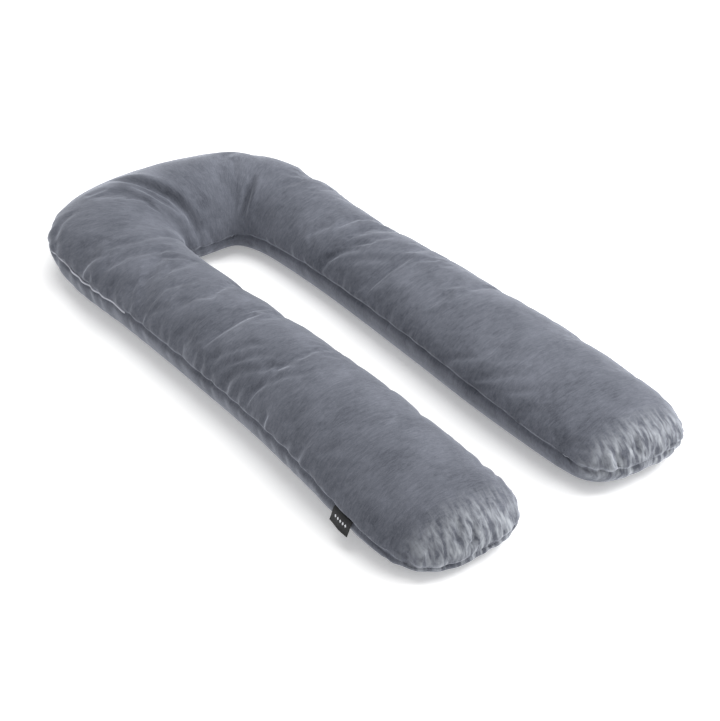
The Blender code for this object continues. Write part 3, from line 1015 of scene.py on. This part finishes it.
    def keep_folds(self, move: np.ndarray, grid: Grid) -> np.ndarray:
        """Take out the even swelling, which the form has already, so that only the folds are left.

        Args:
            move: How far each point moved, as rings, places and x, y, z.
            grid: The rings and places.

        Returns:
            The movement that is left, smaller on the base panel.
        """
        span = self.swell_rings
        longer = np.concatenate([move[:1].repeat(span, axis=0), move, move[-1:].repeat(span, axis=0)])
        total = np.concatenate([np.zeros_like(longer[:1]), np.cumsum(longer, axis=0)])
        window = 2 * span + 1
        swelling = (total[window:] - total[:-window]) / window
        under = smooth_step(np.minimum(grid.places - 1, 2 - grid.places) / self.under_fade)
        return (move - swelling) * self.fold_share * (1 - self.under_share * under)[None, :, None]

    def weigh(self, panels: Object, name: str, weights: np.ndarray) -> str:
        """Add a vertex group.

        Args:
            panels: The cloth panels.
            name: Name of the group.
            weights: A weight for each point.

        Returns:
            The group's name.
        """
        group = panels.vertex_groups.new(name=name)
        for index in np.nonzero(weights > 0)[0].tolist():
            group.add([index], float(weights[index]), "REPLACE")
        return group.name

    def add_map(self, mesh: Mesh) -> None:
        """Add the map: metres along the middle line and metres round the ring.

        Args:
            mesh: The cover's mesh.
        """
        count, size = len(self.grid.shares), len(self.grid.places)
        girth = self.top_girth
        along = np.repeat(self.grid.shares * self.form.line_length, size)
        around = np.tile(self.grid.places * girth, count)
        along = np.concatenate([along, [0, self.form.line_length]])
        around = np.concatenate([around, [girth / 2, girth / 2]])
        corners = corner_points(mesh)
        faces = np.repeat(np.arange(len(mesh.polygons)), [len(face.vertices) for face in mesh.polygons])
        value = around[corners]
        highest = np.zeros(len(mesh.polygons))
        np.maximum.at(highest, faces, value)
        value = np.where((highest[faces] > girth) & (value == 0), 2 * girth, value)
        add_surface_map(mesh, along[corners], value)

    def mark_tips(self, mesh: Mesh) -> None:
        """Store how much each point near the arm tips takes the pale flecks, which stand for pile pressed
        flat and are also a painted highlight.

        Args:
            mesh: The cover's mesh.
        """
        points = mesh_points(mesh)
        near = 1 - smooth_step((points[:, 1] + self.form.length / 2) / self.tip_span)
        attribute = mesh.attributes.new("tip", "FLOAT", "POINT")
        attribute.data.foreach_set("value", near.astype(np.float32))

    def outward_at(self, shares: np.ndarray) -> np.ndarray:
        """Level unit vectors away from the inside of the U at the given shares, as rows of x, y, z."""
        return np.pad(-self.form.inward_at(shares), ((0, 0), (0, 1)))

    def seam_points(self, cover: Object, shares: np.ndarray) -> np.ndarray:
        """The finished outer seam's points at the given shares, as rows of x, y, z."""
        seam = mesh_points(cover.data)[: -2 : len(self.grid.places)]
        return np.stack([np.interp(shares, self.grid.shares, seam[:, axis]) for axis in range(3)], axis=-1)

    def dress(self, cover: Object, finish: BrushedVelour) -> None:
        """Args:
            cover: The finished cover.
            finish: The cover's finish.
        """
        cover.data.materials.append(finish.build())
        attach(cover, ROOT)
        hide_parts("pillow")


@dataclass
class SeamZip:
    """The zip in the outer seam: a strip of tape and the coil's turns along it."""

    cover: Cover
    start: float = 0.340
    end: float = 0.440
    rise: float = 0.0016
    tape_width: float = 0.0060
    tape_thickness: float = 0.0005
    turn_pitch: float = 0.0015
    turn_width: float = 0.0032
    turn_radius: float = 0.0006
    turn_sides: int = 8
    path_points: int = 260

    def path(self, cover: Object) -> tuple[np.ndarray, np.ndarray]:
        """Find the zip's middle line, just outside the seam.

        Args:
            cover: The finished cover.

        Returns:
            The points of the line, and the level direction away from the pillow at each.
        """
        shares = np.linspace(self.start, self.end, self.path_points)
        outward = self.cover.outward_at(shares)
        return self.cover.seam_points(cover, shares) + outward * self.rise, outward

    def build_tape(self, cover: Object) -> Object:
        """Sweep the tape along the seam, standing on edge in the groove.

        Args:
            cover: The finished cover.

        Returns:
            The tape.
        """
        path, outward = self.path(cover)
        half, thick = self.tape_width / 2, self.tape_thickness / 2
        section = [(-thick, -half), (thick, -half), (thick, half), (-thick, half)]
        size = len(section)
        grid = np.stack([path + outward * out + [0, 0, up] for out, up in section], axis=1)
        mesh = grid_mesh("zip_tape", grid, closed=True)
        close_ends(mesh, size)
        corners = corner_points(mesh)
        run = np.concatenate([[0], np.cumsum(np.linalg.norm(np.diff(path, axis=0), axis=1))])
        add_surface_map(mesh, run[corners // size], (corners % size) * self.tape_width)
        return link_object("zip_tape", mesh)

    def build_coil(self, cover: Object, material: Material) -> Object:
        """Lay the coil's turns along the tape with Geometry Nodes, and make the result a plain mesh.

        Args:
            cover: The finished cover.
            material: The coil's material, set by the tree.

        Returns:
            The coil's object.
        """
        path, outward = self.path(cover)
        path = path + outward * (self.tape_thickness / 2 + self.turn_radius)
        curve = bpy.data.curves.new("zip_coil_path", "CURVE")
        curve.dimensions = "3D"
        spline = curve.splines.new("POLY")
        spline.points.add(len(path) - 1)
        for knot, point in zip(spline.points, path):
            knot.co = (*point, 1)
        guide = link_object("zip_coil_path", curve)
        tree = self.coil_tree(material)
        modifier = guide.modifiers.new("turns", "NODES")
        modifier.node_group = tree
        sizes = {"Pitch": self.turn_pitch, "Width": self.turn_width, "Radius": self.turn_radius}
        for item in tree.interface.items_tree:
            if item.item_type == "SOCKET" and item.name in sizes:
                modifier[item.identifier] = sizes[item.name]
        found = guide.evaluated_get(bpy.context.evaluated_depsgraph_get())
        mesh = bpy.data.meshes.new_from_object(found)
        bpy.data.objects.remove(guide, do_unlink=True)
        mesh.name = "zip_teeth"
        return link_object("zip_teeth", mesh)

    def coil_tree(self, material: Material) -> NodeTree:
        """Build the tree that stands one turn of the coil at each pitch along a path.

        Args:
            material: The coil's finish.

        Returns:
            The tree.
        """
        tree = bpy.data.node_groups.new("coil turns along a path", "GeometryNodeTree")
        tree.interface.new_socket("Geometry", in_out="INPUT", socket_type="NodeSocketGeometry")
        for name in ("Pitch", "Width", "Radius"):
            tree.interface.new_socket(name, in_out="INPUT", socket_type="NodeSocketFloat")
        tree.interface.new_socket("Geometry", in_out="OUTPUT", socket_type="NodeSocketGeometry")
        given = add_node(tree, "NodeGroupInput").outputs
        evenly = add_node(tree, "GeometryNodeResampleCurve", {
            "Curve": given["Geometry"], "Length": given["Pitch"],
        }, mode="LENGTH").outputs["Curve"]
        along = add_node(tree, "GeometryNodeInputTangent").outputs["Tangent"]
        turned = add_node(tree, "FunctionNodeAlignRotationToVector", {"Vector": along}, axis="X")
        tooth = add_node(tree, "GeometryNodeMeshCylinder", {
            "Vertices": self.turn_sides, "Radius": given["Radius"], "Depth": given["Width"],
        }).outputs["Mesh"]
        turns = add_node(tree, "GeometryNodeInstanceOnPoints", {
            "Points": evenly, "Instance": tooth, "Rotation": turned.outputs["Rotation"],
        }).outputs["Instances"]
        real = add_node(tree, "GeometryNodeRealizeInstances", {"Geometry": turns}).outputs["Geometry"]
        smooth = add_node(tree, "GeometryNodeSetShadeSmooth", {"Geometry": real}).outputs["Geometry"]
        painted = add_node(tree, "GeometryNodeSetMaterial", {"Geometry": smooth, "Material": material})
        add_node(tree, "NodeGroupOutput", {"Geometry": painted.outputs["Geometry"]})
        return tree

    def dress(self, tape: Object, coil: Object, weave: TapeWeave) -> None:
        """Give the tape its finish and declare both pieces.

        Args:
            tape: The tape.
            coil: The coil.
            weave: The tape's finish.
        """
        tape.data.materials.append(weave.build())
        for piece in (tape, coil):
            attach(piece, ROOT)
        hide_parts("zip_coil")


@dataclass
class SeamLabel:
    """The label: a ribbon folded double, held by its cut ends in the outer seam."""

    cover: Cover
    middle: float = 0.0705
    length: float = 0.050
    columns: int = 26
    ply: float = 0.00045
    section_steps: int = 16
    fold_steps: int = 6
    wave: float = 0.0007
    wave_turn: float = 5.0
    wave_drop: float = 0.02
    sharp_angle: float = 50.0
    drops: tuple[float, ...] = (0.0, 0.004, 0.009, 0.015, 0.021, 0.0255)
    outs: tuple[float, ...] = (0.0014, 0.0050, 0.0074, 0.0092, 0.0114, 0.0138)

    def build(self, cover: Object) -> Object:
        """Sweep the ribbon's folded section along the seam.

        Args:
            cover: The finished cover.

        Returns:
            The label's object.
        """
        half = self.length / 2 / self.cover.form.line_length
        shares = np.linspace(self.middle - half, self.middle + half, self.columns)
        held = self.cover.seam_points(cover, np.linspace(shares[0], shares[-1], 3))
        knots = [shares[0], shares[self.columns // 2], shares[-1]]
        seam = np.stack([np.interp(shares, knots, held[:, axis]) for axis in range(3)], axis=-1)
        outward = self.cover.outward_at(shares)
        steps = np.linspace(0, len(self.drops) - 1, self.section_steps)
        drop = np.interp(steps, range(len(self.drops)), self.drops)
        out = np.interp(steps, range(len(self.outs)), self.outs)
        turn = np.linspace(0, math.pi, self.fold_steps)[1:-1]
        front = np.stack([out + self.ply, drop], axis=-1)
        fold = np.stack([out[-1] + self.ply * np.cos(turn), drop[-1] + self.ply * np.sin(turn)], axis=-1)
        back = np.stack([out[::-1] - self.ply, drop[::-1]], axis=-1)
        section = np.concatenate([front, fold, back])
        wave = self.wave * np.sin(np.linspace(0, self.wave_turn, self.columns))
        sway = wave[:, None, None] * section[None, :, 1:] / self.wave_drop
        grid = (
            seam[:, None, :]
            + outward[:, None, :] * (section[None, :, :1] + sway)
            - np.array([0, 0, 1]) * section[None, :, 1:]
        )
        mesh = grid_mesh("seam_label", grid, closed=True)
        size = len(section)
        close_ends(mesh, size)
        corners = corner_points(mesh)
        across = 1 - (corners // size) / (self.columns - 1)
        add_surface_map(mesh, across, section[corners % size, 1] / self.drops[-1])
        mesh.shade_smooth()
        mesh.set_sharp_from_angle(angle=math.radians(self.sharp_angle))
        return link_object("seam_label", mesh)

    def dress(self, label: Object, finish: WovenRibbon) -> None:
        """Args:
            label: The label.
            finish: The label's finish.
        """
        label.data.materials.append(finish.build())
        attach(label, ROOT)
        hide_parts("label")


class Softbox(NamedTuple):
    """A square soft light that faces the origin."""

    name: str
    place: tuple[float, float, float]
    size: float
    power: float


@dataclass
class Studio:
    """A pale floor, soft light from the right and above, and the camera."""

    azimuth: float = -40.008
    elevation: float = 33.598
    distance: float = 3.7256
    view_angle: float = 21.109
    roll: float = 2.533
    target: tuple[float, float, float] = (-0.0270, -0.1392, 0.06)
    frame_width: int = 720
    frame_height: int = 721
    room_light: float = 0.56
    floor_reach: float = 60.0
    floor_drop: float = 0.0006
    softboxes: tuple[Softbox, ...] = (
        Softbox("key from the right", (2.8, -1.2, 2.3), 2.2, 140.0),
        Softbox("overhead", (0.2, 0.5, 3.0), 2.4, 60.0),
    )

    def lay_floor(self, finish: StudioPaper) -> None:
        """Lay the floor just under the pillow.

        Args:
            finish: The floor's finish.
        """
        ways = ((-1, -1), (1, -1), (1, 1), (-1, 1))
        corners = [(x * self.floor_reach, y * self.floor_reach, -self.floor_drop) for x, y in ways]
        mesh = bpy.data.meshes.new("studio_floor")
        mesh.from_pydata(corners, [], [(0, 1, 2, 3)])
        mesh.materials.append(finish.build())
        floor = link_object("studio_floor", mesh)

    def hang(self, box: Softbox) -> None:
        """Hang a soft light.

        Args:
            box: The light's name, place, size and power.
        """
        light = bpy.data.lights.new(box.name, "AREA")
        light.shape = "SQUARE"
        light.size = box.size
        light.energy = box.power
        lamp = link_object(box.name, light)
        lamp.location = box.place
        lamp.rotation_euler = (-Vector(box.place)).to_track_quat("-Z", "Y").to_euler()

    def set_lights(self) -> None:
        """Hang the soft lights and set the even light of the white room."""
        world = bpy.data.worlds.new("white room")
        world.use_nodes = True
        background = world.node_tree.nodes["Background"]
        background.inputs["Color"].default_value = linear("#ffffff")
        background.inputs["Strength"].default_value = self.room_light
        bpy.context.scene.world = world
        for box in self.softboxes:
            self.hang(box)
        bpy.context.scene.view_settings.view_transform = "Standard"

    def set_camera(self) -> None:
        """Stand the camera at the photograph's viewing angle."""
        angles = (self.azimuth, self.elevation, self.roll)
        azimuth, elevation, roll = (math.radians(angle) for angle in angles)
        back = Vector((
            math.sin(azimuth) * math.cos(elevation),
            -math.cos(azimuth) * math.cos(elevation),
            math.sin(elevation),
        ))
        right = (-back).cross(Vector((0, 0, 1))).normalized()
        up = right.cross(-back)
        turned_right = right * math.cos(roll) + up * math.sin(roll)
        turned_up = up * math.cos(roll) - right * math.sin(roll)
        data = bpy.data.cameras.new("camera")
        focal_px = self.frame_width / 2 / math.tan(math.radians(self.view_angle) / 2)
        data.lens = data.sensor_width * focal_px / max(self.frame_width, self.frame_height)
        camera = link_object("camera", data)
        turn = Matrix((turned_right, turned_up, back)).transposed().to_4x4()
        camera.matrix_world = Matrix.Translation(Vector(self.target) + back * self.distance) @ turn
        bpy.context.scene.camera = camera


def main() -> None:
    """Build the pillow's pieces in order."""
    logging.basicConfig(level=logging.INFO, format="%(message)s")
    form = PillowForm()
    cover = Cover(form, Relief(form))
    velour = cover.build()
    cover.dress(velour, BrushedVelour())
    log.info("velour cover: %d faces", len(velour.data.polygons))
    seam_zip = SeamZip(cover)
    tape = seam_zip.build_tape(velour)
    coil = seam_zip.build_coil(velour, CoilNylon().build())
    seam_zip.dress(tape, coil, TapeWeave())
    log.info("zip: %d faces", len(tape.data.polygons) + len(coil.data.polygons))
    label = SeamLabel(cover)
    ribbon = label.build(velour)
    label.dress(ribbon, WovenRibbon())
    log.info("label: %d faces", len(ribbon.data.polygons))
    studio = Studio()
    studio.lay_floor(StudioPaper())
    studio.set_lights()
    studio.set_camera()


if __name__ == "__main__":
    main()
